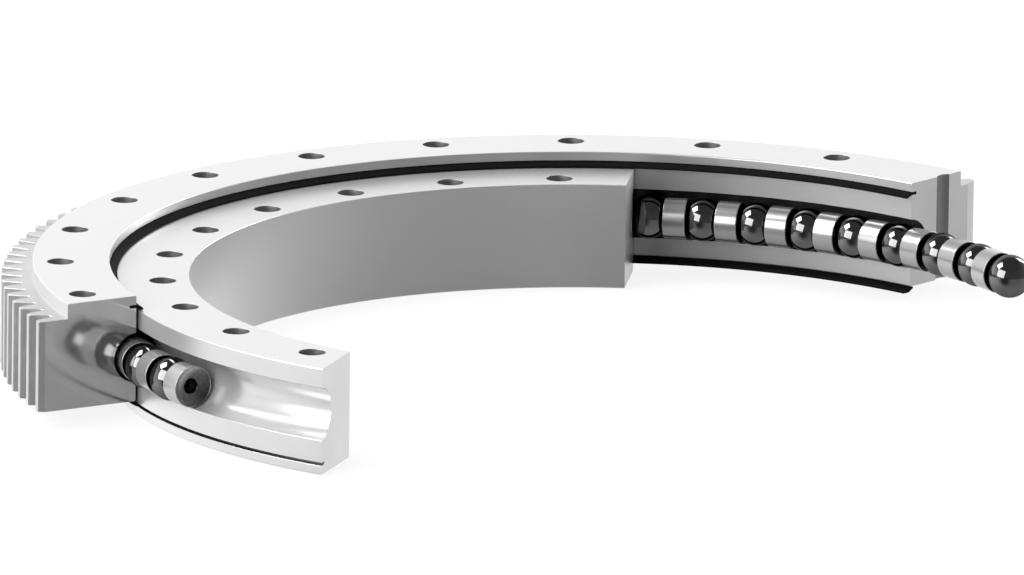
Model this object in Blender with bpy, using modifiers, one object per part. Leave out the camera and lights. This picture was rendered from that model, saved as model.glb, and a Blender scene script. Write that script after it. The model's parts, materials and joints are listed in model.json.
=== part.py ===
"""A slewing ring shown as a cutaway: a ball bearing with an external gear, in metres, +Z up.

The inner ring stands on z = 0 and the outer ring runs round it, a step higher. Balls and
spacers alternate in the raceway between them. Both rings are cut open, each by two flat cuts
of its own, so the raceway, balls and seals show. Angles are in degrees, counterclockwise from
+X about the ring axis.
"""

import math

import bmesh
import bpy
from mathutils import Matrix, Vector

# Driving dimensions of the bearing
PITCH_RADIUS = 0.315
RING_CLEARANCE = 0.001
INNER_RING_WIDTH = 0.050
RING_HEIGHT = 0.070
OUTER_RING_LIFT = 0.010
FLANGE_WIDTH = 0.050
FLANGE_HEIGHT = 0.010
EDGE_CHAMFER = 0.001

# External gear, cut on the lower part of the outer ring
GEAR_MODULE = 0.006
GEAR_STEP = 0.012
PROFILE_SHIFT = 0.4
PRESSURE_ANGLE = 20.0
ADDENDUM = 1.0
DEDENDUM = 1.25
TOOTH_PHASE = 180.82

# Balls and the spacers between them; the gap is the least that a spacer's web and seats need
BALL_RADIUS = 0.0143
BALL_GAP = 0.008
BALL_COUNT = 28
FIRST_BALL = 29.55
SEAT_GAP = 0.0003
SPACER_STEP = 0.0007
SPACER_DISH_DEPTH = 0.00295
SPACER_HOLE_RADIUS = 0.005
SPACER_RIM = 0.0005

# Raceways: two arcs in each ring, wider than the ball, whose centres lie past the middle
INNER_RACEWAY_PLAY = 0.0036
OUTER_RACEWAY_PLAY = 0.0026
RACEWAY_ARC_OFFSET = 0.0004

# Bolt holes, one circle through each ring
BOLT_HOLE_RADIUS = 0.00875
BOLTS_IN_CIRCLE = 24
BOLT_EDGE_DISTANCE = 0.018
OUTER_FIRST_BOLT = 2.185
INNER_FIRST_BOLT = 4.342

# Seals: a root held in one ring's groove, a rise beyond the other ring's face that its lip meets
SEAL_GROOVE_WIDTH = 0.002
SEAL_GROOVE_DEPTH = 0.0049
SEAL_GROOVE_RISE = 0.002
SEAL_LIP_REACH = 0.0051
SEAL_LIP_THICKNESS = 0.0012

# Cuts: the bearing of the cut line from the axis, and the line's offset to the left of it
OUTER_START_CUT = (48.2, 0.0)
OUTER_END_CUT = (209.7, -0.055)
INNER_START_CUT = (83.0, 0.0096)
INNER_END_CUT = (250.0, -0.0776)
CUT_REACH = 1.0
CUT_MARGIN = 0.02

# How finely round shapes are divided
RING_STEPS = 72
RACEWAY_STEPS = 4
FLANK_STEPS = 2
BALL_SEGMENTS = 12
BALL_RINGS = 6
SPACER_SEGMENTS = 12
SEAT_STEPS = 2
HOLE_SEGMENTS = 12

# What follows from the sizes above
INNER_WALL = PITCH_RADIUS - RING_CLEARANCE
OUTER_WALL = PITCH_RADIUS + RING_CLEARANCE
BORE_RADIUS = INNER_WALL - INNER_RING_WIDTH
FLANGE_RADIUS = OUTER_WALL + FLANGE_WIDTH
GEAR_TEETH = round(2 * (FLANGE_RADIUS + GEAR_STEP) / GEAR_MODULE)
GEAR_FACE_WIDTH = RING_HEIGHT - FLANGE_HEIGHT
OUTER_RING_TOP = OUTER_RING_LIFT + RING_HEIGHT
TOP_GROOVE = RING_HEIGHT + SEAL_GROOVE_RISE
BOTTOM_GROOVE = OUTER_RING_LIFT - SEAL_GROOVE_RISE - SEAL_GROOVE_WIDTH
INNER_RACEWAY_HEIGHT = (OUTER_RING_LIFT + RING_HEIGHT) / 2
INNER_LIP_REACH = math.sqrt((BALL_RADIUS + INNER_RACEWAY_PLAY) ** 2 - RING_CLEARANCE**2)
LOWER_LIP = INNER_RACEWAY_HEIGHT - INNER_LIP_REACH + RACEWAY_ARC_OFFSET
BALL_HEIGHT = LOWER_LIP + math.sqrt((BALL_RADIUS + SEAT_GAP) ** 2 - RING_CLEARANCE**2)
FULL_CIRCLE_BALLS = int(math.pi / math.asin((BALL_RADIUS + BALL_GAP / 2) / PITCH_RADIUS))
BALL_SPACING = 360.0 / FULL_CIRCLE_BALLS
SPACER_RADIUS = BALL_RADIUS - SPACER_STEP


def clear_scene():
    for obj in list(bpy.data.objects):
        bpy.data.objects.remove(obj, do_unlink=True)


def add_collection(name):
    made = bpy.data.collections.new(name)
    bpy.context.scene.collection.children.link(made)
    return made


def add_object(name, data, collection, parent):
    obj = bpy.data.objects.new(name, data)
    collection.objects.link(obj)
    obj.parent = parent
    return obj


def add_finish(name, colour, metallic, roughness):
    material = bpy.data.materials.new(name)
    material.use_nodes = True
    shader = material.node_tree.nodes["Principled BSDF"]
    shader.inputs["Base Color"].default_value = (*colour, 1.0)
    shader.inputs["Metallic"].default_value = metallic
    shader.inputs["Roughness"].default_value = roughness
    return material


def evaluated_mesh(obj):
    bpy.context.view_layer.update()
    graph = bpy.context.evaluated_depsgraph_get()
    return bpy.data.meshes.new_from_object(obj.evaluated_get(graph))


def turned_mesh(name, profile, steps):
    """A profile of (radius, height) turned round Z. It runs down its outer side first.

    The profile is a closed loop, apart from an edge that would lie on the axis.
    """
    outline = bpy.data.meshes.new(name + "_profile")
    loop = [(i, (i + 1) % len(profile)) for i in range(len(profile))]
    edges = [(a, b) for a, b in loop if profile[a][0] > 0.0 or profile[b][0] > 0.0]
    outline.from_pydata([(radius, 0.0, height) for radius, height in profile], edges, [])
    lathe = bpy.data.objects.new(name + "_lathe", outline)
    bpy.context.scene.collection.objects.link(lathe)
    screw = lathe.modifiers.new("turn", "SCREW")
    screw.axis = "Z"
    screw.steps = screw.render_steps = steps
    screw.use_merge_vertices = True
    screw.merge_threshold = 0.00001
    mesh = evaluated_mesh(lathe)
    mesh.name = name
    bpy.data.objects.remove(lathe)
    return mesh


def extruded_mesh(name, outline, low, high):
    """A flat outline of (x, y) points raised from one height to another."""
    curve = bpy.data.curves.new(name + "_outline", "CURVE")
    curve.dimensions = "2D"
    curve.fill_mode = "BOTH"
    curve.extrude = (high - low) / 2
    spline = curve.splines.new("POLY")
    spline.points.add(len(outline) - 1)
    for point, (x, y) in zip(spline.points, outline):
        point.co = (x, y, 0.0, 1.0)
    spline.use_cyclic_u = True
    flat = bpy.data.objects.new(name + "_flat", curve)
    bpy.context.scene.collection.objects.link(flat)
    mesh = evaluated_mesh(flat)
    mesh.name = name
    bpy.data.objects.remove(flat)
    solid = bmesh.new()
    solid.from_mesh(mesh)
    bmesh.ops.remove_doubles(solid, verts=solid.verts, dist=0.000001)
    bmesh.ops.translate(solid, verts=solid.verts, vec=(0.0, 0.0, (low + high) / 2))
    bmesh.ops.recalc_face_normals(solid, faces=solid.faces)
    solid.to_mesh(mesh)
    solid.free()
    return mesh


def holes_mesh(name, circle_radius, first, low, high):
    """One cylinder for each bolt hole of a full circle."""
    drills = bmesh.new()
    for i in range(BOLTS_IN_CIRCLE):
        turn = Matrix.Rotation(math.radians(first + i * 360.0 / BOLTS_IN_CIRCLE), 4, "Z")
        place = turn @ Matrix.Translation((circle_radius, 0.0, (low + high) / 2))
        bmesh.ops.create_cone(
            drills, cap_ends=True, segments=HOLE_SEGMENTS, radius1=BOLT_HOLE_RADIUS,
            radius2=BOLT_HOLE_RADIUS, depth=high - low, matrix=place,
        )
    mesh = bpy.data.meshes.new(name)
    drills.to_mesh(mesh)
    drills.free()
    return mesh


def add_boolean(obj, tool, operation):
    boolean = obj.modifiers.new(tool.name, "BOOLEAN")
    boolean.operation = operation
    boolean.solver = "EXACT"
    boolean.object = tool


def add_tool(name, mesh, cutters, parent):
    tool = add_object(name, mesh, cutters, parent)
    tool.hide_render = True
    tool.display_type = "WIRE"
    return tool


def polar(radius, degrees):
    turn = math.radians(degrees)
    return radius * math.cos(turn), radius * math.sin(turn)


def raceway_points(side, play):
    """One ring's raceway, from its upper lip to its lower.

    The side is 1 in the outer ring and -1 in the inner. Both lower lips are at one height.
    """
    arc_radius = BALL_RADIUS + play
    lip = math.acos(RING_CLEARANCE / arc_radius)
    middle = math.asin(RACEWAY_ARC_OFFSET / arc_radius)
    upper = []
    for i in range(RACEWAY_STEPS + 1):
        turn = lip + (middle - lip) * i / RACEWAY_STEPS
        radius = PITCH_RADIUS + side * arc_radius * math.cos(turn)
        upper.append((radius, arc_radius * math.sin(turn) - RACEWAY_ARC_OFFSET))
    lower = [(radius, -rise) for radius, rise in reversed(upper[:-1])]
    height = LOWER_LIP + upper[0][1]
    return [(radius, height + rise) for radius, rise in upper + lower]


def inner_ring_profile():
    top, bore, chamfer = RING_HEIGHT, BORE_RADIUS, EDGE_CHAMFER
    groove_low = BOTTOM_GROOVE
    groove_high = groove_low + SEAL_GROOVE_WIDTH
    groove_floor = INNER_WALL - SEAL_GROOVE_DEPTH
    return [
        (INNER_WALL - chamfer, top),
        (INNER_WALL, top - chamfer),
        *raceway_points(-1, INNER_RACEWAY_PLAY),
        (INNER_WALL, groove_high),
        (groove_floor, groove_high),
        (groove_floor, groove_low),
        (INNER_WALL, groove_low),
        (INNER_WALL, chamfer),
        (INNER_WALL - chamfer, 0.0),
        (bore + chamfer, 0.0),
        (bore, chamfer),
        (bore, top - chamfer),
        (bore + chamfer, top),
    ]


def outer_bore_profile():
    """What the lathe takes out of the outer ring: its bore, raceway, seal groove and two chamfers."""
    low, high = OUTER_RING_LIFT, OUTER_RING_TOP
    groove_low = TOP_GROOVE
    groove_high = groove_low + SEAL_GROOVE_WIDTH
    groove_floor = OUTER_WALL + SEAL_GROOVE_DEPTH
    run_out = EDGE_CHAMFER + CUT_MARGIN
    return [
        (OUTER_WALL + run_out, high + CUT_MARGIN),
        (OUTER_WALL, high - EDGE_CHAMFER),
        (OUTER_WALL, groove_high),
        (groove_floor, groove_high),
        (groove_floor, groove_low),
        (OUTER_WALL, groove_low),
        *raceway_points(1, OUTER_RACEWAY_PLAY),
        (OUTER_WALL, low + EDGE_CHAMFER),
        (OUTER_WALL + run_out, low - CUT_MARGIN),
        (0.0, low - CUT_MARGIN),
        (0.0, high + CUT_MARGIN),
    ]


def flange_profile():
    """The toothless upper part of the outer ring, which reaches down into the gear blank."""
    foot = OUTER_RING_LIFT + GEAR_FACE_WIDTH / 2
    top = OUTER_RING_TOP
    return [
        (FLANGE_RADIUS - EDGE_CHAMFER, top),
        (FLANGE_RADIUS, top - EDGE_CHAMFER),
        (FLANGE_RADIUS, foot),
        (0.0, foot),
        (0.0, top),
    ]


def involute(degrees):
    turn = math.radians(degrees)
    return math.tan(turn) - turn


def gear_outline():
    """The toothed edge of the gear, counterclockwise, with involute flanks."""
    pitch = GEAR_MODULE * GEAR_TEETH / 2
    base = pitch * math.cos(math.radians(PRESSURE_ANGLE))
    tip = pitch + GEAR_MODULE * (ADDENDUM + PROFILE_SHIFT)
    root = pitch - GEAR_MODULE * (DEDENDUM - PROFILE_SHIFT)
    half_tooth = math.pi / 2 + 2 * PROFILE_SHIFT * math.tan(math.radians(PRESSURE_ANGLE))
    flank = []
    for i in range(FLANK_STEPS + 1):
        radius = root + (tip - root) * i / FLANK_STEPS
        lean = math.degrees(math.acos(base / radius))
        width = half_tooth / GEAR_TEETH + involute(PRESSURE_ANGLE) - involute(lean)
        flank.append((radius, math.degrees(width)))
    outline = []
    for tooth in range(GEAR_TEETH):
        middle = TOOTH_PHASE + tooth * 360.0 / GEAR_TEETH
        outline += [polar(radius, middle - width) for radius, width in flank]
        outline += [polar(radius, middle + width) for radius, width in reversed(flank)]
    return outline


def cut_point(cut, along):
    """A point on a cut line, at a distance from the foot of its perpendicular from the axis."""
    bearing, offset = cut
    x, y = polar(along, bearing)
    offset_x, offset_y = polar(offset, bearing + 90.0)
    return x + offset_x, y + offset_y


def missing_sector(start_cut, end_cut):
    """The outline of what a cutaway takes away, from its end cut round to its start cut."""
    gap = (start_cut[0] - end_cut[0]) % 360.0
    corners = [polar(2 * CUT_REACH, end_cut[0] + gap * i / 4) for i in (1, 2, 3)]
    return [
        cut_point(start_cut, 0.0),
        cut_point(end_cut, 0.0),
        cut_point(end_cut, CUT_REACH),
        *corners,
        cut_point(start_cut, CUT_REACH),
    ]


def top_seal_profile():
    """The outer ring's seal: its root lies in the groove, its lip on the inner ring's top face."""
    root_low = TOP_GROOVE + SEAT_GAP
    root_high = root_low + SEAL_GROOVE_WIDTH - 2 * SEAT_GAP
    root_end = OUTER_WALL + SEAL_GROOVE_DEPTH - SEAT_GAP
    lip_end = OUTER_WALL - SEAL_LIP_REACH
    lip_low = RING_HEIGHT + SEAT_GAP
    return [
        (root_end, root_high),
        (root_end, root_low),
        (OUTER_WALL, root_low),
        (lip_end + SEAL_LIP_THICKNESS, lip_low),
        (lip_end, lip_low),
        (lip_end, lip_low + SEAL_LIP_THICKNESS),
        (OUTER_WALL - RING_CLEARANCE, root_high),
    ]


def bottom_seal_profile():
    """The inner ring's seal: its root lies in the groove, its lip under the outer ring."""
    root_low = BOTTOM_GROOVE + SEAT_GAP
    root_high = root_low + SEAL_GROOVE_WIDTH - 2 * SEAT_GAP
    root_end = INNER_WALL - SEAL_GROOVE_DEPTH + SEAT_GAP
    lip_end = INNER_WALL + SEAL_LIP_REACH
    lip_high = OUTER_RING_LIFT - SEAT_GAP
    return [
        (lip_end, lip_high),
        (lip_end, lip_high - SEAL_LIP_THICKNESS),
        (INNER_WALL + RING_CLEARANCE, root_low),
        (root_end, root_low),
        (root_end, root_high),
        (INNER_WALL, root_high),
        (lip_end - SEAL_LIP_THICKNESS, lip_high),
    ]


def spacer_profile():
    """The spacer's section about its own axis: each end is dished, and a ball meets its hole's rim."""
    mouth = SPACER_RADIUS - SPACER_RIM
    hole = SPACER_HOLE_RADIUS
    ball_distance = PITCH_RADIUS * math.sin(math.radians(BALL_SPACING / 2))
    web = ball_distance - math.sqrt((BALL_RADIUS + SEAT_GAP) ** 2 - hole**2)
    half = web + SPACER_DISH_DEPTH
    centre = (half**2 + mouth**2 - web**2 - hole**2) / (2 * (half - web))
    dish = math.hypot(centre - web, hole)
    seat = []
    for i in range(SEAT_STEPS + 1):
        radius = hole + (mouth - hole) * i / SEAT_STEPS
        seat.append((radius, centre - math.sqrt(dish**2 - radius**2)))
    lower = [(radius, -height) for radius, height in reversed(seat)]
    return [(SPACER_RADIUS, half), (SPACER_RADIUS, -half), *lower, *seat]


def shade_round(mesh):
    mesh.shade_smooth()
    mesh.set_sharp_from_angle(angle=math.radians(30.0))


def add_inner_ring(parts, cutters, axis, finish):
    profile = inner_ring_profile()
    ring = add_object("inner_ring", turned_mesh("inner_ring", profile, RING_STEPS), parts, axis)
    outline = missing_sector(INNER_START_CUT, INNER_END_CUT)
    low, high = -CUT_MARGIN, RING_HEIGHT + CUT_MARGIN
    sector = extruded_mesh("inner_cutaway", outline, low, high)
    add_boolean(ring, add_tool("inner_cutaway", sector, cutters, axis), "DIFFERENCE")
    bolt_circle = BORE_RADIUS + BOLT_EDGE_DISTANCE
    holes = holes_mesh("inner_bolt_holes", bolt_circle, INNER_FIRST_BOLT, low, high)
    add_boolean(ring, add_tool("inner_bolt_holes", holes, cutters, axis), "DIFFERENCE")
    finish_ring(ring, finish)
    return ring


def add_outer_ring(parts, cutters, axis, finish):
    low, high = OUTER_RING_LIFT - CUT_MARGIN / 2, OUTER_RING_TOP + CUT_MARGIN / 2
    gear_top = OUTER_RING_LIFT + GEAR_FACE_WIDTH
    gear = extruded_mesh("outer_ring", gear_outline(), OUTER_RING_LIFT, gear_top)
    ring = add_object("outer_ring", gear, parts, axis)
    flange = turned_mesh("flange", flange_profile(), RING_STEPS)
    add_boolean(ring, add_tool("flange", flange, cutters, axis), "UNION")
    outline = missing_sector(OUTER_START_CUT, OUTER_END_CUT)
    sector = extruded_mesh("outer_cutaway", outline, low, high)
    cutaway = add_tool("outer_cutaway", sector, cutters, axis)
    add_boolean(ring, cutaway, "DIFFERENCE")
    bore = turned_mesh("outer_bore", outer_bore_profile(), RING_STEPS)
    add_boolean(ring, add_tool("outer_bore", bore, cutters, axis), "DIFFERENCE")
    bolt_circle = FLANGE_RADIUS - BOLT_EDGE_DISTANCE
    holes = holes_mesh("outer_bolt_holes", bolt_circle, OUTER_FIRST_BOLT, low, high)
    add_boolean(ring, add_tool("outer_bolt_holes", holes, cutters, axis), "DIFFERENCE")
    finish_ring(ring, finish)
    return ring, cutaway


def finish_ring(ring, finish):
    shade_round(ring.data)
    ring.data.materials.append(finish)


def add_seal(name, profile, cutaway, parts, axis, finish):
    seal = add_object(name, turned_mesh(name, profile, RING_STEPS), parts, axis)
    add_boolean(seal, cutaway, "DIFFERENCE")
    finish_ring(seal, finish)
    return seal


def ball_mesh():
    ball = bmesh.new()
    bmesh.ops.create_uvsphere(
        ball, u_segments=BALL_SEGMENTS, v_segments=BALL_RINGS, radius=BALL_RADIUS
    )
    mesh = bpy.data.meshes.new("ball")
    ball.to_mesh(mesh)
    ball.free()
    mesh.shade_smooth()
    return mesh


def add_ball_train(parts, train, ball_finish, spacer_finish):
    """Balls and spacers in turn. A spacer's axis runs through the centres of its two balls."""
    ball = ball_mesh()
    ball.materials.append(ball_finish)
    spacer = turned_mesh("spacer", spacer_profile(), SPACER_SEGMENTS)
    shade_round(spacer)
    spacer.materials.append(spacer_finish)
    spacer_circle = PITCH_RADIUS * math.cos(math.radians(BALL_SPACING / 2))
    placed = []
    for i in range(BALL_COUNT):
        bearing = FIRST_BALL + i * BALL_SPACING
        piece = add_object(f"ball_{i + 1:02d}", ball, parts, train)
        piece.location = (*polar(PITCH_RADIUS, bearing), BALL_HEIGHT)
        piece.rotation_euler = (0.0, 0.0, math.radians(bearing))
        placed.append(piece)
        bearing += BALL_SPACING / 2
        piece = add_object(f"spacer_{i + 1:02d}", spacer, parts, train)
        piece.location = (*polar(spacer_circle, bearing), BALL_HEIGHT)
        piece.rotation_euler = (-math.pi / 2, 0.0, math.radians(bearing))
        placed.append(piece)
    return placed


def centre_on_box(axis, pieces):
    """Moves the whole bearing until its box stands on z = 0 with its middle at the origin."""
    bpy.context.view_layer.update()
    graph = bpy.context.evaluated_depsgraph_get()
    corners = []
    for piece in pieces:
        solid = piece.evaluated_get(graph)
        corners += [solid.matrix_world @ Vector(vertex.co) for vertex in solid.data.vertices]
    low = [min(corner[i] for corner in corners) for i in range(3)]
    high = [max(corner[i] for corner in corners) for i in range(3)]
    axis.location = (-(low[0] + high[0]) / 2, -(low[1] + high[1]) / 2, -low[2])


def main():
    clear_scene()
    parts = add_collection("slewing_ring")
    cutters = add_collection("cutters")
    cutters.hide_render = True
    ring_steel = add_finish("ring_steel", (0.78, 0.78, 0.79), 0.85, 0.32)
    ball_steel = add_finish("ball_steel", (0.16, 0.16, 0.17), 1.0, 0.08)
    spacer_steel = add_finish("spacer_steel", (0.80, 0.80, 0.81), 1.0, 0.25)
    seal_rubber = add_finish("seal_rubber", (0.015, 0.015, 0.016), 0.0, 0.55)
    axis = add_object("ring_axis", None, parts, None)
    train = add_object("ball_train_axis", None, parts, axis)
    inner_ring = add_inner_ring(parts, cutters, axis, ring_steel)
    outer_ring, cutaway = add_outer_ring(parts, cutters, axis, ring_steel)
    seals = [
        add_seal("top_seal", top_seal_profile(), cutaway, parts, axis, seal_rubber),
        add_seal("bottom_seal", bottom_seal_profile(), cutaway, parts, axis, seal_rubber),
    ]
    rolling = add_ball_train(parts, train, ball_steel, spacer_steel)
    centre_on_box(axis, [inner_ring, outer_ring, *seals, *rolling])


main()
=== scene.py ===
"""The slewing ring's looks: finer rings, balls, spacers and seals, their finishes, and the studio.

Lengths are in metres. Bearings are in degrees, counterclockwise from +X about the ring axis.
The sizes of the parts repeat those of the CAD, and the places of the pieces come from the frame.
"""

import json
import math

import bmesh
import bpy
from mathutils import Matrix, Vector


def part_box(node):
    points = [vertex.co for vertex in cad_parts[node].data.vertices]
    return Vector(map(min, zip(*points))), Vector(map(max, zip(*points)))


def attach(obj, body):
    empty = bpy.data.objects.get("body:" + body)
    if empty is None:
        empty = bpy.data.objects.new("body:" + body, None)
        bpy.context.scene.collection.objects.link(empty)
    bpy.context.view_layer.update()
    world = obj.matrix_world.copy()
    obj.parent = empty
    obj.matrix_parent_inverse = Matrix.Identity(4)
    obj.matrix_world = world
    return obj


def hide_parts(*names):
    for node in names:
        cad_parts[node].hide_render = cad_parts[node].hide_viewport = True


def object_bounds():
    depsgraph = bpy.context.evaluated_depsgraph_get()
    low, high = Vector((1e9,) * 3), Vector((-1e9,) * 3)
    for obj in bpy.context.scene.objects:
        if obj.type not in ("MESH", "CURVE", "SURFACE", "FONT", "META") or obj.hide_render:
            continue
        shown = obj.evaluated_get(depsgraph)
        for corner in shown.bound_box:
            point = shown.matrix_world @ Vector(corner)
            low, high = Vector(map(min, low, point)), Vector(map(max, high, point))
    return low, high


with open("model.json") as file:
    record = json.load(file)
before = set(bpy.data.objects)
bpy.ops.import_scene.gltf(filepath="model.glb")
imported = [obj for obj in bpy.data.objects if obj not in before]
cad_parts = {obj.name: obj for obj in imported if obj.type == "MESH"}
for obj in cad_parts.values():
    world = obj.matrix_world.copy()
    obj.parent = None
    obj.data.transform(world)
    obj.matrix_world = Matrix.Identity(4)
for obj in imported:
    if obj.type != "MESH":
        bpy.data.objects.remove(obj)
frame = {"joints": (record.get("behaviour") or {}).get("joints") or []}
CAD_LOW, CAD_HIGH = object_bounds()

# Sizes of the two rings
PITCH_RADIUS = 0.315
RING_CLEARANCE = 0.001
INNER_WALL = 0.314
OUTER_WALL = 0.316
BORE_RADIUS = 0.264
FLANGE_RADIUS = 0.366
INNER_TOP = 0.070
OUTER_BASE = 0.010
OUTER_TOP = 0.080
EDGE_ROUND = 0.0008
LIP_ROUND = 0.0003

# External gear
GEAR_MODULE = 0.006
GEAR_TEETH = 126
GEAR_TOP = 0.070
PROFILE_SHIFT = 0.4
PRESSURE_ANGLE = 20.0
TIP_RADIUS = 0.3864
ROOT_RADIUS = 0.3729
TOOTH_PHASE = 180.82
TIP_ROUND = 0.0005
ROOT_FILLET = 0.0016
FLANK_STEPS = 5

# Raceways
INNER_RACEWAY = 0.0179
OUTER_RACEWAY = 0.0169
RACEWAY_ARC_OFFSET = 0.0004
RACEWAY_STEPS = 9
RACEWAY_REACH = 0.0188
LOWER_LIP = 0.0225279

# Balls and spacers
BALL_RADIUS = 0.0143
BALL_HEIGHT = 0.0395
SPACER_RADIUS = 0.0136
SPACER_HALF = 0.00757
SPACER_HOLE = 0.005
SPACER_HOLE_EDGE = 0.0003
SPACER_RIM = 0.0005
SPACER_RIM_EASE = 0.999
SPACER_RIM_STEPS = 4
SPACER_DISH_DEPTH = 0.00295
SPACER_DISH_STEPS = 10
ROUND_SEGMENTS = 64
TRAIN_PAIRS = 28

# Seals, and the grooves in the rings' walls that hold them: the lower and upper side of each
INNER_GROOVE = (0.006, 0.008)
OUTER_GROOVE = (0.072, 0.074)
GROOVE_DEPTH = 0.0049
SEAL_PLAY = 0.0003
SEAL_GAP = 0.0003
SEAL_ROOT = 0.0046
SEAL_HEEL = 0.0039
SEAL_TOE = 0.0051
SEAL_TOE_HEIGHT = 0.0012
SEAL_ROUND = 0.0004
SEAL_ROOT_ROUND = 0.0003
SEAL_HEEL_ROUND = 0.0001
SEAL_BACK_ROUND = 0.0006

# Bolt holes: the radius of each circle, and the bearing of one of its holes
HOLES = 24
HOLE_RADIUS = 0.00875
HOLE_CHAMFER = 0.0002
HOLE_SEGMENTS = 48
DRILL_REACH = 0.002
OUTER_HOLES = (0.348, 2.185)
INNER_HOLES = (0.282, 4.342)

# Cuts: the bearing of the cut line, and its offset to the left of the axis
OUTER_CUTS = ((48.2, 0.0), (209.7, -0.055))
INNER_CUTS = ((83.0, 0.0096), (250.0, -0.0776))
CUT_KEEP_OUT = 0.03
CUT_TOLERANCE = 1e-7

# Bearings between which the rings are swept before they are cut
OUTER_SWEEP = (44.0, 206.0)
INNER_SWEEP = (79.0, 241.0)
SWEEP_STEP = 0.75

# Fineness of rounds, the tolerance in telling faces apart, and where shading turns sharp
ARC_STEPS = 4
TINY = 0.0001
SHARP_ANGLE = 30.0

# Places of the finishes on a ring
FINISHES = 8
TURNED, CUT, HOLE, RACE, GROOVE, GEAR, FIRST_END, WALL = range(FINISHES)

AXIS = Vector(frame["joints"][0]["pos_m"])
AXIS.z = 0.0


def polar(radius, degrees):
    turn = math.radians(degrees)
    return radius * math.cos(turn), radius * math.sin(turn)


def involute(degrees):
    turn = math.radians(degrees)
    return math.tan(turn) - turn


def rounded(corner, before, after, radius):
    """An arc in place of a corner of a profile, from the side before it to the side after it."""
    c, b, a = Vector(corner), Vector(before), Vector(after)
    to_b, to_a = (b - c).normalized(), (a - c).normalized()
    half = to_b.angle(to_a) / 2
    reach = radius / math.tan(half)
    centre = c + (to_b + to_a).normalized() * (radius / math.sin(half))
    start, end = c + to_b * reach - centre, c + to_a * reach - centre
    points = []
    for i in range(ARC_STEPS + 1):
        mix = start.slerp(end, i / ARC_STEPS)
        points.append(tuple(centre + mix.normalized() * radius))
    return points


def soften(corners):
    """A closed profile from (point, radius) pairs, with an arc where the radius isn't 0."""
    points = []
    for i, (corner, radius) in enumerate(corners):
        if radius:
            after = corners[(i + 1) % len(corners)][0]
            points += rounded(corner, corners[i - 1][0], after, radius)
        else:
            points.append(tuple(corner))
    return points


# Profiles of the rings and seals: (radius, height) points
def raceway_points(side, arc_radius):
    """One ring's raceway, two arcs from its upper lip to its lower."""
    lip = math.acos(RING_CLEARANCE / arc_radius)
    middle = math.asin(RACEWAY_ARC_OFFSET / arc_radius)
    upper = []
    for i in range(RACEWAY_STEPS + 1):
        turn = lip + (middle - lip) * i / RACEWAY_STEPS
        radius = PITCH_RADIUS + side * arc_radius * math.cos(turn)
        upper.append((radius, arc_radius * math.sin(turn) - RACEWAY_ARC_OFFSET))
    lower = [(radius, -rise) for radius, rise in reversed(upper[:-1])]
    height = LOWER_LIP + upper[0][1]
    return [(radius, height + rise) for radius, rise in upper + lower]


def inner_ring_profile():
    race = raceway_points(-1, INNER_RACEWAY)
    groove_low, groove_high = INNER_GROOVE
    floor = INNER_WALL - GROOVE_DEPTH
    return soften([
        ((INNER_WALL, INNER_TOP), EDGE_ROUND),
        (race[0], LIP_ROUND),
        *[(point, 0) for point in race[1:-1]],
        (race[-1], LIP_ROUND),
        ((INNER_WALL, groove_high), LIP_ROUND),
        ((floor, groove_high), 0),
        ((floor, groove_low), 0),
        ((INNER_WALL, groove_low), LIP_ROUND),
        ((INNER_WALL, 0.0), EDGE_ROUND),
        ((BORE_RADIUS, 0.0), EDGE_ROUND),
        ((BORE_RADIUS, INNER_TOP), EDGE_ROUND),
    ])


def outer_ring_profile(tooth_radius):
    race = raceway_points(1, OUTER_RACEWAY)
    groove_low, groove_high = OUTER_GROOVE
    floor = OUTER_WALL + GROOVE_DEPTH
    return soften([
        ((OUTER_WALL, OUTER_TOP), EDGE_ROUND),
        ((FLANGE_RADIUS, OUTER_TOP), EDGE_ROUND),
        ((FLANGE_RADIUS, GEAR_TOP), LIP_ROUND),
        ((tooth_radius, GEAR_TOP), EDGE_ROUND),
        ((tooth_radius, OUTER_BASE), EDGE_ROUND),
        ((OUTER_WALL, OUTER_BASE), EDGE_ROUND),
        (race[-1], LIP_ROUND),
        *[(point, 0) for point in reversed(race[1:-1])],
        (race[0], LIP_ROUND),
        ((OUTER_WALL, groove_low), LIP_ROUND),
        ((floor, groove_low), 0),
        ((floor, groove_high), 0),
        ((OUTER_WALL, groove_high), LIP_ROUND),
    ])


def seal_profile(wall, side, near, far, lip):
    """A seal, with its root in a groove of one ring and its lip beside a face of the other.

    The side is 1 where the root points outwards and lies above the lip, and -1 where it points
    inwards and lies below. The groove's sides near the lip and far from it come as heights.
    """
    near += side * SEAL_PLAY
    far -= side * SEAL_PLAY
    root = wall + side * SEAL_ROOT
    toe = wall - side * SEAL_TOE
    return soften([
        ((root, far), SEAL_ROOT_ROUND),
        ((root, near), SEAL_ROOT_ROUND),
        ((wall, near), SEAL_ROUND),
        ((wall - side * SEAL_HEEL, lip), SEAL_HEEL_ROUND),
        ((toe, lip), SEAL_ROUND),
        ((toe, lip + side * SEAL_TOE_HEIGHT), SEAL_ROUND),
        ((wall - side * RING_CLEARANCE, far), SEAL_BACK_ROUND),
    ])


# Gear teeth
def tooth_half_width(radius):
    """Half a tooth's width at a radius, in degrees."""
    pitch = GEAR_MODULE * GEAR_TEETH / 2
    base = pitch * math.cos(math.radians(PRESSURE_ANGLE))
    half_tooth = math.pi / 2 + 2 * PROFILE_SHIFT * math.tan(math.radians(PRESSURE_ANGLE))
    lean = math.degrees(math.acos(base / radius))
    return math.degrees(half_tooth / GEAR_TEETH + involute(PRESSURE_ANGLE) - involute(lean))


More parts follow.
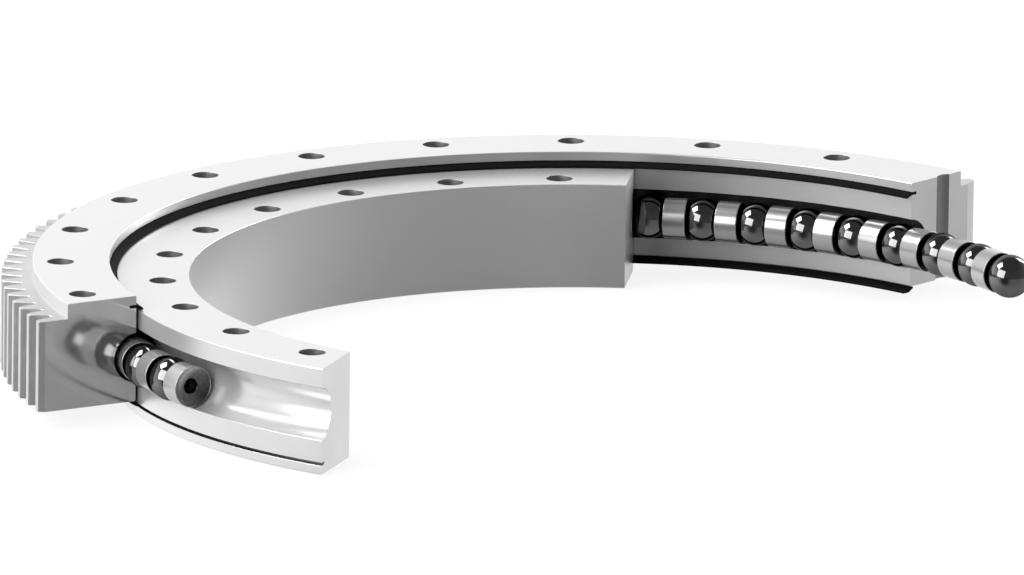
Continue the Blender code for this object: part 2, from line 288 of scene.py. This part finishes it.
def half_tooth_points():
    """From a tip's corner down its flank and fillet to the root: (radius, degrees off the middle)."""
    points = []
    for t in (90, 45, 0):
        radius = TIP_RADIUS - TIP_ROUND * (1 - math.sin(math.radians(t)))
        inset = math.degrees((1 - math.cos(math.radians(t))) * TIP_ROUND / TIP_RADIUS)
        points.append((radius, tooth_half_width(radius) - inset))
    top, bottom = TIP_RADIUS - TIP_ROUND, ROOT_RADIUS + ROOT_FILLET
    for i in range(1, FLANK_STEPS):
        radius = top + (bottom - top) * i / FLANK_STEPS
        points.append((radius, tooth_half_width(radius)))
    for t in (0, 30, 60, 90):
        radius = ROOT_RADIUS + ROOT_FILLET * (1 - math.sin(math.radians(t)))
        outset = math.degrees((1 - math.cos(math.radians(t))) * ROOT_FILLET / ROOT_RADIUS)
        points.append((radius, tooth_half_width(radius) + outset))
    return points


# Stations of a sweep: (bearing, profile) pairs
def gear_stations(first, last):
    """The outer ring's profiles along its teeth, for each tooth whose middle is in the sweep."""
    half = [(outer_ring_profile(radius), off) for radius, off in half_tooth_points()]
    pitch = 360.0 / GEAR_TEETH
    stations = []
    tooth = math.ceil((first - TOOTH_PHASE) / pitch)
    while TOOTH_PHASE + tooth * pitch < last:
        middle = TOOTH_PHASE + tooth * pitch
        stations += [(middle - off, profile) for profile, off in reversed(half)]
        stations += [(middle + off, profile) for profile, off in half]
        tooth += 1
    return stations


def plain_stations(first, last, profile):
    """One profile at even steps."""
    count = round((last - first) / SWEEP_STEP)
    return [(first + (last - first) * i / count, profile) for i in range(count + 1)]


def on_raceway(point):
    return math.hypot(point[0] - PITCH_RADIUS, point[1] - BALL_HEIGHT) < RACEWAY_REACH


def on_gear(a, b):
    """Whether a side of a profile belongs to the teeth or to the step above them."""
    return min(a[0], b[0]) > FLANGE_RADIUS - TINY and max(a[1], b[1]) < GEAR_TOP + TINY


def on_outer_wall(a, b):
    """Whether a side of a profile lies on the outer ring's bore."""
    return max(abs(a[0] - OUTER_WALL), abs(b[0] - OUTER_WALL)) < TINY


def in_groove(a, b):
    """Whether a side of a profile is the floor or a side of a seal groove."""
    deepest = max(abs(a[0] - PITCH_RADIUS), abs(b[0] - PITCH_RADIUS))
    low, high = sorted((a[1], b[1]))
    level = any(g[0] - TINY < low and high < g[1] + TINY for g in (INNER_GROOVE, OUTER_GROOVE))
    return level and deepest > GROOVE_DEPTH


def finish_place(a, b):
    """The place of the finish that a side of a ring's profile takes."""
    if on_outer_wall(a, b):
        return WALL
    if on_gear(a, b):
        return GEAR
    if in_groove(a, b):
        return GROOVE
    if on_raceway(a) and on_raceway(b):
        return RACE
    return TURNED


# Solids
def swept(stations):
    """A strip swept round the axis through every station, open at both ends."""
    solid = bmesh.new()
    rows = []
    for bearing, profile in stations:
        turn = math.radians(bearing)
        rows.append([
            solid.verts.new((r * math.cos(turn), r * math.sin(turn), z)) for r, z in profile
        ])
    profile = stations[0][1]
    places = [finish_place(a, b) for a, b in zip(profile, profile[1:] + profile[:1])]
    for before, after in zip(rows, rows[1:]):
        for i, place in enumerate(places):
            k = (i + 1) % len(places)
            face = solid.faces.new((before[i], before[k], after[k], after[i]))
            face.material_index = place
    return solid


def cut_open(solid, cuts):
    """Cuts the strip off at both cut lines and closes it there.

    Each line cuts only its own end of the strip, because it runs on across the axis.
    """
    middle = Vector((*polar(1.0, (cuts[0][0] + cuts[1][0]) / 2), 0.0))
    across = Vector((-middle.y, middle.x, 0.0))
    for (bearing, offset), side, closing in zip(cuts, (-1.0, 1.0), (FIRST_END, CUT)):
        left = Vector((*polar(1.0, bearing + 90.0), 0.0))
        near = [v for v in solid.verts if v.co.dot(across) * side > CUT_KEEP_OUT]
        own = set(near)
        edges = [e for e in solid.edges if own.issuperset(e.verts)]
        faces = [f for f in solid.faces if own.issuperset(f.verts)]
        cut = bmesh.ops.bisect_plane(
            solid, geom=near + edges + faces, dist=CUT_TOLERANCE, plane_co=left * offset,
            plane_no=left * side, clear_outer=True,
        )
        rim = [part for part in cut["geom_cut"] if isinstance(part, bmesh.types.BMEdge)]
        made = bmesh.ops.triangle_fill(solid, edges=rim, use_beauty=True)
        for face in made["geom"]:
            if isinstance(face, bmesh.types.BMFace):
                face.material_index = closing
    bmesh.ops.recalc_face_normals(solid, faces=solid.faces)


def drills(circle, low, high):
    """Cylinders for a circle of holes, wider at both ends for the holes' chamfers."""
    radius, first = circle
    tools = bmesh.new()
    wide = HOLE_RADIUS + HOLE_CHAMFER + DRILL_REACH
    ends = [
        (low - DRILL_REACH, wide), (low + HOLE_CHAMFER, HOLE_RADIUS),
        (high - HOLE_CHAMFER, HOLE_RADIUS), (high + DRILL_REACH, wide),
    ]
    for hole in range(HOLES):
        x, y = polar(radius, first + hole * 360.0 / HOLES)
        rings = []
        for height, size in ends:
            ring = []
            for i in range(HOLE_SEGMENTS):
                dx, dy = polar(size, 360.0 * i / HOLE_SEGMENTS)
                ring.append(tools.verts.new((x + dx, y + dy, height)))
            rings.append(ring)
        for a, b in zip(rings, rings[1:]):
            for i in range(HOLE_SEGMENTS):
                k = (i + 1) % HOLE_SEGMENTS
                tools.faces.new((a[i], a[k], b[k], b[i])).material_index = HOLE
        tools.faces.new(reversed(rings[0]))
        tools.faces.new(rings[-1])
    return tools


def to_object(name, solid, materials):
    mesh = bpy.data.meshes.new(name)
    solid.to_mesh(mesh)
    solid.free()
    obj = bpy.data.objects.new(name, mesh)
    bpy.context.scene.collection.objects.link(obj)
    for material in materials:
        mesh.materials.append(material)
    return obj


def apply_modifiers(obj):
    """Makes the modifiers' result the object's own mesh, with its custom normals."""
    bpy.context.view_layer.update()
    graph = bpy.context.evaluated_depsgraph_get()
    mesh = bpy.data.meshes.new_from_object(
        obj.evaluated_get(graph), preserve_all_data_layers=True, depsgraph=graph,
    )
    obj.modifiers.clear()
    obj.data = mesh


def drill_holes(obj, materials, circle, low, high):
    tool = to_object(obj.name + "_drills", drills(circle, low, high), materials)
    cut = obj.modifiers.new("holes", "BOOLEAN")
    cut.operation = "DIFFERENCE"
    cut.solver = "EXACT"
    cut.object = tool
    apply_modifiers(obj)
    bpy.data.objects.remove(tool)


def shade(obj):
    """Smooth but for sharp edges, with flats that stay flat up to their rounded edges."""
    obj.data.shade_smooth()
    obj.data.set_sharp_from_angle(angle=math.radians(SHARP_ANGLE))
    weigh = obj.modifiers.new("normals", "WEIGHTED_NORMAL")
    weigh.keep_sharp = True
    apply_modifiers(obj)


# Finishes
class Nodes:
    """A short way to write a material's nodes."""

    def __init__(self, name):
        self.material = bpy.data.materials.new(name)
        self.material.use_nodes = True
        self.tree = self.material.node_tree
        self.shader = self.tree.nodes["Principled BSDF"]
        self.place = self.add("ShaderNodeTexCoord").outputs["Object"]

    def add(self, kind, **settings):
        node = self.tree.nodes.new(kind)
        for key, value in settings.items():
            setattr(node, key, value)
        return node

    def link(self, a, b):
        self.tree.links.new(a, b)

    def math(self, operation, *values):
        node = self.add("ShaderNodeMath", operation=operation)
        for socket, value in zip(node.inputs, values):
            if isinstance(value, (int, float)):
                socket.default_value = value
            else:
                self.link(value, socket)
        return node.outputs[0]

    def noise(self, vector, scale, detail, roughness):
        node = self.add("ShaderNodeTexNoise")
        node.inputs["Scale"].default_value = scale
        node.inputs["Detail"].default_value = detail
        node.inputs["Roughness"].default_value = roughness
        self.link(vector, node.inputs["Vector"])
        return node.outputs[0]

    def lines(self, scale):
        """A noise drawn out to lines, across the direction with the largest scale."""
        stretch = self.add("ShaderNodeMapping")
        stretch.inputs["Scale"].default_value = scale
        self.link(self.place, stretch.inputs[0])
        return self.noise(stretch.outputs[0], 1.0, 3.0, 0.6)

    def turning_marks(self, scale, detail, roughness):
        """A noise that is nearly constant round the axis, as a lathe tool's fine marks are."""
        split = self.add("ShaderNodeSeparateXYZ")
        self.link(self.place, split.inputs[0])
        x, y, z = split.outputs
        squares = self.math("ADD", self.math("POWER", x, 2.0), self.math("POWER", y, 2.0))
        join = self.add("ShaderNodeCombineXYZ")
        self.link(self.math("SQRT", squares), join.inputs[0])
        self.link(z, join.inputs[1])
        self.link(self.math("MULTIPLY", self.math("ADD", x, y), 2.0), join.inputs[2])
        return self.noise(join.outputs[0], scale, detail, roughness)

    def span(self, value, low, high, start=0.3, end=0.7):
        """The value from start to end, spread over low to high."""
        node = self.add("ShaderNodeMapRange")
        self.link(value, node.inputs["Value"])
        ends = (("From Min", start), ("From Max", end), ("To Min", low), ("To Max", high))
        for key, number in ends:
            node.inputs[key].default_value = number
        return node.outputs[0]

    def grey(self, low, high, value):
        """A neutral colour between two greys."""
        level = self.span(value, low, high)
        node = self.add("ShaderNodeCombineColor")
        for socket in node.inputs:
            self.link(level, socket)
        return node.outputs[0]

    def bump(self, height, distance, strength, normal=None):
        node = self.add("ShaderNodeBump")
        node.inputs["Distance"].default_value = distance
        node.inputs["Strength"].default_value = strength
        self.link(height, node.inputs["Height"])
        if normal:
            self.link(normal, node.inputs["Normal"])
        return node.outputs[0]

    def dress(self, colour, metallic, roughness, normal):
        """The material, with its shader's inputs: metallic is a number, the rest are nodes."""
        self.link(colour, self.shader.inputs["Base Color"])
        self.shader.inputs["Metallic"].default_value = metallic
        self.link(roughness, self.shader.inputs["Roughness"])
        self.link(normal, self.shader.inputs["Normal"])
        return self.material


def turned_steel(name, low, high, metallic):
    """Satin turned steel: fine marks round the axis, soft cloudiness and a few polished patches."""
    n = Nodes(name)
    marks = n.turning_marks(1400.0, 3.0, 0.6)
    clouds = n.noise(n.place, 14.0, 3.0, 0.55)
    grit = n.noise(n.place, 2200.0, 2.0, 0.6)
    mixed = n.math("ADD", n.math("MULTIPLY", marks, 0.6), n.math("MULTIPLY", clouds, 0.4))
    normal = n.bump(marks, 0.000012, 0.6, n.bump(grit, 0.000004, 0.5))
    return n.dress(n.grey(low, high, clouds), metallic, n.span(mixed, 0.29, 0.37), normal)


def raceway_steel(name, low, high, metallic):
    """The raceways: hardened and ground, with a fine sheen along the balls' path."""
    n = Nodes(name)
    marks = n.turning_marks(2200.0, 3.0, 0.6)
    clouds = n.noise(n.place, 24.0, 2.0, 0.5)
    normal = n.bump(marks, 0.0000003, 0.2)
    return n.dress(n.grey(low, high, clouds), metallic, n.span(marks, 0.21, 0.23), normal)


def lined_steel(name, scale, greys, metallic, roughness, bump, clouds=None):
    """Steel with a tool's fine straight lines, and with clouds in its grey if they have a scale."""
    n = Nodes(name)
    lines = n.lines(scale)
    shades = n.noise(n.place, clouds, 2.0, 0.5) if clouds else lines
    return n.dress(n.grey(*greys, shades), metallic, n.span(lines, *roughness), n.bump(lines, *bump))


def cut_steel(name, metallic, smooth, rough):
    """A sawn and ground cut face, with straight fine lines."""
    return lined_steel(
        name, (120.0, 120.0, 2600.0), (0.70, 0.75), metallic, (smooth, rough), (0.000001, 0.2), 30.0,
    )


def polished_steel(name):
    """Dark polished steel of a ball, with the faintest haze."""
    n = Nodes(name)
    haze = n.noise(n.place, 160.0, 3.0, 0.6)
    pits = n.noise(n.place, 900.0, 2.0, 0.5)
    n.shader.inputs["Specular Tint"].default_value = (0.35, 0.35, 0.35, 1.0)
    return n.dress(
        n.grey(0.22, 0.26, haze), 1.0, n.span(haze, 0.035, 0.075), n.bump(pits, 0.000002, 0.3),
    )


def painted_shade_seat_steel(name):
    """Dark and smooth: painted shade in the spacers' dished ends and in the seal grooves."""
    n = Nodes(name)
    haze = n.noise(n.place, 240.0, 3.0, 0.6)
    return n.dress(
        n.grey(0.13, 0.18, haze), 1.0, n.span(haze, 0.22, 0.30), n.bump(haze, 0.000006, 0.4),
    )


def black_rubber(name):
    """Moulded nitrile rubber with a fine matt skin and soft flow lines round the ring."""
    n = Nodes(name)
    skin = n.noise(n.place, 2600.0, 3.0, 0.6)
    flow = n.turning_marks(300.0, 2.0, 0.5)
    n.shader.inputs["Specular IOR Level"].default_value = 0.05
    return n.dress(
        n.grey(0.004, 0.008, flow), 0.0, n.span(flow, 0.60, 0.72), n.bump(skin, 0.00002, 0.4),
    )


RING_STEEL = turned_steel("ring_steel_turned", 0.73, 0.77, 0.75)
# The outer ring's bore takes the turned steel in a darker grey: painted shade, for the shadow that
# the inner ring's end casts on that wall.
WALL_STEEL_PAINTED_SHADE = turned_steel("ring_steel_wall_painted_shade", 0.60, 0.64, 0.85)
CUT_STEEL = cut_steel("ring_steel_ground", 0.85, 0.10, 0.13)
END_STEEL = cut_steel("ring_steel_sawn", 0.45, 0.33, 0.37)
# The holes' walls: drilled lines, in a dark grey that is painted shade inside the holes.
HOLE_STEEL_PAINTED_SHADE = lined_steel(
    "ring_steel_drilled_painted_shade", (60.0, 60.0, 2400.0), (0.38, 0.46), 0.97, (0.44, 0.54), (0.00002, 0.6),
)
INNER_RACE_STEEL = raceway_steel("ring_steel_inner_race", 0.72, 0.77, 0.65)
# The outer raceway: the raceway steel at about half its grey, which is painted shade for the shadow
# behind the balls.
OUTER_RACE_STEEL_PAINTED_SHADE = raceway_steel("ring_steel_outer_race_painted_shade", 0.36, 0.42, 0.90)
# The teeth and the step above them: hobbing lines, and a darker grey than the turned steel, which is
# painted shade.
GEAR_STEEL_PAINTED_SHADE = lined_steel(
    "ring_steel_hobbed_painted_shade", (1500.0, 1500.0, 180.0), (0.57, 0.62), 0.85, (0.30, 0.40),
    (0.000008, 0.5), 40.0,
)
BALL_STEEL = polished_steel("ball_steel_polished")
SPACER_STEEL = lined_steel(
    "spacer_steel_satin", (60.0, 60.0, 3600.0), (0.50, 0.54), 0.70, (0.23, 0.25), (0.00000005, 0.1),
)
# A dark grey steel, which is painted shade in the spacers' dishes and in the seal grooves.
SEAT_STEEL_PAINTED_SHADE = painted_shade_seat_steel("spacer_steel_seat_painted_shade")
RUBBER = black_rubber("seal_rubber_moulded")


# The two rings and their seals
def settle(obj, place, node, body):
    """Puts a piece in its place, on its body, instead of its node."""
    obj.location = place
    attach(obj, body)
    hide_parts(node)


def add_ring(name, node, body, race, first_end, stations, cuts, holes, low, high):
    solid = swept(stations)
    cut_open(solid, cuts)
    materials = [
        RING_STEEL, CUT_STEEL, HOLE_STEEL_PAINTED_SHADE, race, SEAT_STEEL_PAINTED_SHADE, GEAR_STEEL_PAINTED_SHADE, first_end, WALL_STEEL_PAINTED_SHADE,
    ]
    ring = to_object(name, solid, materials)
    drill_holes(ring, materials, holes, low, high)
    shade(ring)
    settle(ring, AXIS, node, body)


def add_seal(name, node, body, profile):
    solid = swept(plain_stations(*OUTER_SWEEP, profile))
    cut_open(solid, OUTER_CUTS)
    seal = to_object(name, solid, [RUBBER] * FINISHES)
    shade(seal)
    settle(seal, AXIS, node, body)


add_ring(
    "inner_ring_turned", "inner_ring", "inner_ring", INNER_RACE_STEEL, END_STEEL,
    plain_stations(*INNER_SWEEP, inner_ring_profile()), INNER_CUTS, INNER_HOLES, 0.0, INNER_TOP,
)
add_ring(
    "outer_ring_turned", "outer_ring", "outer_ring", OUTER_RACE_STEEL_PAINTED_SHADE, CUT_STEEL,
    gear_stations(*OUTER_SWEEP), OUTER_CUTS, OUTER_HOLES, OUTER_BASE, OUTER_TOP,
)
add_seal(
    "top_seal_moulded", "top_seal", "outer_ring",
    seal_profile(OUTER_WALL, 1, *OUTER_GROOVE, INNER_TOP + SEAL_GAP),
)
add_seal(
    "bottom_seal_moulded", "bottom_seal", "inner_ring",
    seal_profile(INNER_WALL, -1, *reversed(INNER_GROOVE), OUTER_BASE - SEAL_GAP),
)


# Balls and spacers
def ball_mesh():
    ball = bmesh.new()
    bmesh.ops.create_uvsphere(
        ball, u_segments=ROUND_SEGMENTS, v_segments=ROUND_SEGMENTS // 2, radius=BALL_RADIUS,
    )
    mesh = bpy.data.meshes.new("ball_polished")
    ball.to_mesh(mesh)
    ball.free()
    mesh.shade_smooth()
    mesh.materials.append(BALL_STEEL)
    return mesh


def spacer_profile(mouth):
    """Half a spacer's section, from its hole's edge over the dish and the rim.

    The rim's arc is a trace smaller than the rim, so it stays clear of the dish's mouth.
    """
    web = SPACER_HALF - SPACER_DISH_DEPTH
    centre = (SPACER_HALF**2 + mouth**2 - web**2 - SPACER_HOLE**2) / (2 * (SPACER_HALF - web))
    dish = math.hypot(centre - web, SPACER_HOLE)
    rim = []
    for i in range(1, SPACER_RIM_STEPS + 1):
        turn = math.radians(90.0 * i / SPACER_RIM_STEPS)
        radius = SPACER_RADIUS - SPACER_RIM * (1 - math.sin(turn)) * SPACER_RIM_EASE
        rim.append((radius, SPACER_HALF - SPACER_RIM * (1 - math.cos(turn))))
    seat = []
    edge = SPACER_HOLE + SPACER_HOLE_EDGE
    for i in range(SPACER_DISH_STEPS + 1):
        radius = mouth + (edge - mouth) * i / SPACER_DISH_STEPS
        seat.append((radius, centre - math.sqrt(dish**2 - radius**2)))
    bore = (SPACER_HOLE, seat[-1][1] - SPACER_HOLE_EDGE)
    return [bore, *reversed(seat), *rim]


def spacer_mesh():
    """A short cylinder with rounded rims, and a dish and a through hole in its ends."""
    mouth = SPACER_RADIUS - SPACER_RIM
    top = spacer_profile(mouth)
    loop = top + [(radius, -height) for radius, height in reversed(top)]
    spacer = bmesh.new()
    rows = []
    for i in range(ROUND_SEGMENTS):
        turn = 2 * math.pi * i / ROUND_SEGMENTS
        rows.append([
            spacer.verts.new((r * math.cos(turn), r * math.sin(turn), z)) for r, z in loop
        ])
    for before, after in zip(rows, rows[1:] + rows[:1]):
        for i in range(len(loop)):
            k = (i + 1) % len(loop)
            face = spacer.faces.new((before[i], before[k], after[k], after[i]))
            in_dish = max(loop[i][0], loop[k][0]) <= mouth
            face.material_index = 1 if in_dish else 0
    bmesh.ops.recalc_face_normals(spacer, faces=spacer.faces)
    turned = to_object("spacer_satin", spacer, [SPACER_STEEL, SEAT_STEEL_PAINTED_SHADE])
    shade(turned)
    mesh = turned.data
    bpy.data.objects.remove(turned)
    return mesh


def add_train():
    ball, spacer = ball_mesh(), spacer_mesh()
    for i in range(1, TRAIN_PAIRS + 1):
        for kind, mesh, slot in (("ball", ball, "ball_steel"), ("spacer", spacer, "spacer_steel")):
            node = f"{kind}_{i:02d}"
            low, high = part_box(node)
            middle = (low + high) / 2
            bearing = math.atan2(middle.y - AXIS.y, middle.x - AXIS.x)
            piece = bpy.data.objects.new(node + "_fine", mesh)
            bpy.context.scene.collection.objects.link(piece)
            if kind == "spacer":
                piece.rotation_euler = (-math.pi / 2, 0.0, bearing)
            settle(piece, middle, node, "ball_train")


add_train()


# Studio: floor and world
FLOOR_SIZE = 60.0
FLOOR_DROP = 0.0005
FLOOR_GREY = 0.16
FLOOR_SHADE = 0.14
FLOOR_GLOW = 0.86
FLOOR_GLINT = 0.12
SKY_LIGHT = 0.12


def ray_share(nodes, links, glossy):
    """One for what the camera sees, straight or through glass, and a share of it in reflections."""
    path = nodes.new("ShaderNodeLightPath")
    part = nodes.new("ShaderNodeMath")
    part.operation = "MULTIPLY_ADD"
    links.new(path.outputs["Is Glossy Ray"], part.inputs[0])
    part.inputs[1].default_value = glossy
    links.new(path.outputs["Is Camera Ray"], part.inputs[2])
    total = nodes.new("ShaderNodeMath")
    total.operation = "ADD"
    total.use_clamp = True
    links.new(part.outputs[0], total.inputs[0])
    links.new(path.outputs["Is Transmission Ray"], total.inputs[1])
    return total.outputs[0]


def floor_material():
    """White to the camera but for shadows, and a plain grey to everything else."""
    material = bpy.data.materials.new("pale_floor")
    material.use_nodes = True
    nodes, links = material.node_tree.nodes, material.node_tree.links
    nodes.clear()
    out = nodes.new("ShaderNodeOutputMaterial")
    plain = nodes.new("ShaderNodeBsdfDiffuse")
    plain.inputs["Color"].default_value = (FLOOR_GREY, FLOOR_GREY, FLOOR_GREY, 1.0)
    shaded = nodes.new("ShaderNodeBsdfDiffuse")
    shaded.inputs["Color"].default_value = (FLOOR_SHADE, FLOOR_SHADE, FLOOR_SHADE, 1.0)
    glow = nodes.new("ShaderNodeEmission")
    glow.inputs["Strength"].default_value = FLOOR_GLOW
    white = nodes.new("ShaderNodeAddShader")
    links.new(shaded.outputs[0], white.inputs[0])
    links.new(glow.outputs[0], white.inputs[1])
    mix = nodes.new("ShaderNodeMixShader")
    links.new(ray_share(nodes, links, FLOOR_GLINT), mix.inputs[0])
    links.new(plain.outputs[0], mix.inputs[1])
    links.new(white.outputs[0], mix.inputs[2])
    links.new(mix.outputs[0], out.inputs[0])
    material.cycles.emission_sampling = "NONE"
    return material


def add_floor():
    mesh = bpy.data.meshes.new("floor")
    signs = ((-1, -1), (1, -1), (1, 1), (-1, 1))
    corners = [(x * FLOOR_SIZE, y * FLOOR_SIZE, 0.0) for x, y in signs]
    mesh.from_pydata(corners, [], [(0, 1, 2, 3)])
    mesh.materials.append(floor_material())
    floor = bpy.data.objects.new("floor", mesh)
    floor.location.z = CAD_LOW.z - FLOOR_DROP
    floor.visible_glossy = False
    bpy.context.scene.collection.objects.link(floor)


def add_world():
    world = bpy.data.worlds.new("studio")
    bpy.context.scene.world = world
    world.use_nodes = True
    nodes, links = world.node_tree.nodes, world.node_tree.links
    nodes.clear()
    out = nodes.new("ShaderNodeOutputWorld")
    sky = nodes.new("ShaderNodeBackground")
    level = nodes.new("ShaderNodeMapRange")
    links.new(ray_share(nodes, links, 1.0), level.inputs["Value"])
    level.inputs["To Min"].default_value = SKY_LIGHT
    level.inputs["To Max"].default_value = 1.0
    links.new(level.outputs[0], sky.inputs["Strength"])
    links.new(sky.outputs[0], out.inputs[0])


add_floor()
add_world()


# Lamps: name, azimuth, elevation, distance, width, height, radiance, and the rays that see it.
# A lamp for glossy rays stands a little nearer than its diffuse twin, which would hide it.
LAMPS = (
    ("key_softbox", -50.0, 22.5, 2.2, 1.9, 1.65, 5.0, "diffuse"),
    ("key_glint", -50.0, 22.5, 2.15, 1.86, 1.61, 3.3, "glossy"),
    ("top_softbox", -100.0, 53.0, 2.4, 1.5, 1.3, 5.7, "diffuse"),
    ("top_glint", -100.0, 53.0, 2.3, 1.1, 0.95, 9.8, "glossy"),
    ("side_fill", 107.0, 20.0, 2.6, 2.0, 1.2, 9.0, "diffuse"),
    ("sky_fill", 180.0, 70.0, 2.6, 1.5, 1.5, 3.8, "diffuse"),
    ("rim_softbox", 141.0, 27.0, 2.6, 0.8, 1.2, 5.5, "glossy"),
)


def direction(azimuth, elevation):
    """From the object towards the studio: azimuth 0 is the camera's side, -90 is its left."""
    a, e = math.radians(azimuth), math.radians(elevation)
    return Vector((math.sin(a) * math.cos(e), -math.cos(a) * math.cos(e), math.sin(e)))


def add_lamp(name, azimuth, elevation, distance, width, height, radiance, rays):
    lamp = bpy.data.lights.new(name, "AREA")
    lamp.shape = "RECTANGLE"
    lamp.size, lamp.size_y = width, height
    lamp.energy = radiance * math.pi * width * height
    box = bpy.data.objects.new(name, lamp)
    away = direction(azimuth, elevation)
    box.location = away * distance
    box.rotation_mode = "QUATERNION"
    box.rotation_quaternion = away.to_track_quat("Z", "Y")
    box.visible_camera = False
    box.visible_glossy = rays == "glossy"
    box.visible_diffuse = rays == "diffuse"
    bpy.context.scene.collection.objects.link(box)


for row in LAMPS:
    add_lamp(*row)


# Studio walls, which only the metal's reflections see
WALLS_RADIUS = 6.0
DIMMEST = (25.0, 0.0)
FLAG = (-26.0, -13.0)
FLAG_EDGE = 34.0
FLAG_CORE = 8.0
OVERHEAD_GLOW = 0.10
BELOW_GLOW = 0.42
FLAG_GLOW = 0.07


def wall_glow(n, unit):
    """The walls' brightness in a direction: dim in front and overhead, and white behind."""
    split = n.add("ShaderNodeSeparateXYZ")
    n.link(unit, split.inputs[0])
    x, y, z = split.outputs
    dimmest = direction(*DIMMEST)
    level = n.math("SQRT", n.math("SUBTRACT", 1.0001, n.math("POWER", z, 2.0)))
    ahead = n.math("ADD", n.math("MULTIPLY", x, dimmest.x), n.math("MULTIPLY", y, dimmest.y))
    away = n.span(n.math("DIVIDE", ahead, level), 1.0, 0.0, -0.9, 1.0)
    near_floor = n.math("MULTIPLY_ADD", n.math("POWER", away, 1.4), 0.93, 0.30)
    glow = n.math("MULTIPLY_ADD", n.math("POWER", away, 2.0), 1.06, 0.13)
    floor_side = n.span(z, 1.0, 0.0, -0.12, -0.02)
    glow = n.math("MULTIPLY_ADD", n.math("SUBTRACT", near_floor, glow), floor_side, glow)
    overhead = n.span(z, 0.0, 1.0, 0.34, 0.80)
    below = n.span(z, 1.0, 0.0, -0.90, -0.34)
    dot = n.add("ShaderNodeVectorMath", operation="DOT_PRODUCT")
    n.link(unit, dot.inputs[0])
    dot.inputs[1].default_value = direction(*FLAG)
    edge, core = math.cos(math.radians(FLAG_EDGE)), math.cos(math.radians(FLAG_CORE))
    flag = n.span(dot.outputs["Value"], 0.0, 1.0, edge, core)
    for amount, goal in ((overhead, OVERHEAD_GLOW), (below, BELOW_GLOW), (flag, FLAG_GLOW)):
        glow = n.math("MULTIPLY_ADD", n.math("SUBTRACT", goal, glow), amount, glow)
    return glow


def add_studio_walls():
    tent = bmesh.new()
    bmesh.ops.create_uvsphere(tent, u_segments=72, v_segments=36, radius=WALLS_RADIUS)
    mesh = bpy.data.meshes.new("studio_walls")
    tent.to_mesh(mesh)
    tent.free()
    walls = bpy.data.objects.new("studio_walls", mesh)
    bpy.context.scene.collection.objects.link(walls)
    n = Nodes("studio_grey")
    n.tree.nodes.remove(n.shader)
    unit = n.add("ShaderNodeVectorMath", operation="NORMALIZE")
    n.link(n.place, unit.inputs[0])
    lamp = n.add("ShaderNodeEmission")
    n.link(wall_glow(n, unit.outputs[0]), lamp.inputs["Strength"])
    n.link(lamp.outputs[0], n.tree.nodes["Material Output"].inputs[0])
    n.material.cycles.emission_sampling = "NONE"
    mesh.materials.append(n.material)
    walls.visible_camera = False
    walls.visible_diffuse = False
    walls.visible_shadow = False
    walls.visible_transmission = False


add_studio_walls()


# Camera: far away behind a long lens, so the view is nearly without perspective
CAMERA_LENS = 900.0
CAMERA_SENSOR = 36.0
CAMERA_CLIP = (1.0, 60.0)
CAMERA_ELEVATION = 13.49418
CAMERA_ROLL = 0.77889
CAMERA_TURN = -0.50088
CAMERA_AIM = Vector((-0.0540387, 0.2615293, 0.0))
CAMERA_DISTANCE = 16.92037


def add_camera():
    data = bpy.data.cameras.new("camera")
    data.lens = CAMERA_LENS
    data.sensor_width = CAMERA_SENSOR
    data.clip_start, data.clip_end = CAMERA_CLIP
    camera = bpy.data.objects.new("camera", data)
    bpy.context.scene.collection.objects.link(camera)
    turn = Matrix.Rotation(math.radians(CAMERA_TURN), 3, "Z")
    elevation, roll = math.radians(CAMERA_ELEVATION), math.radians(CAMERA_ROLL)
    back = turn @ Vector((0.0, -math.cos(elevation), math.sin(elevation)))
    level = turn @ Vector((1.0, 0.0, 0.0))
    up = back.cross(level)
    right = math.cos(roll) * level + math.sin(roll) * up
    over = math.cos(roll) * up - math.sin(roll) * level
    place = AXIS + turn @ CAMERA_AIM + back * CAMERA_DISTANCE
    axes = Matrix((right, over, back)).transposed().to_4x4()
    camera.matrix_world = Matrix.Translation(place) @ axes
    bpy.context.scene.camera = camera


add_camera()
bpy.context.scene.view_settings.view_transform = "Standard"
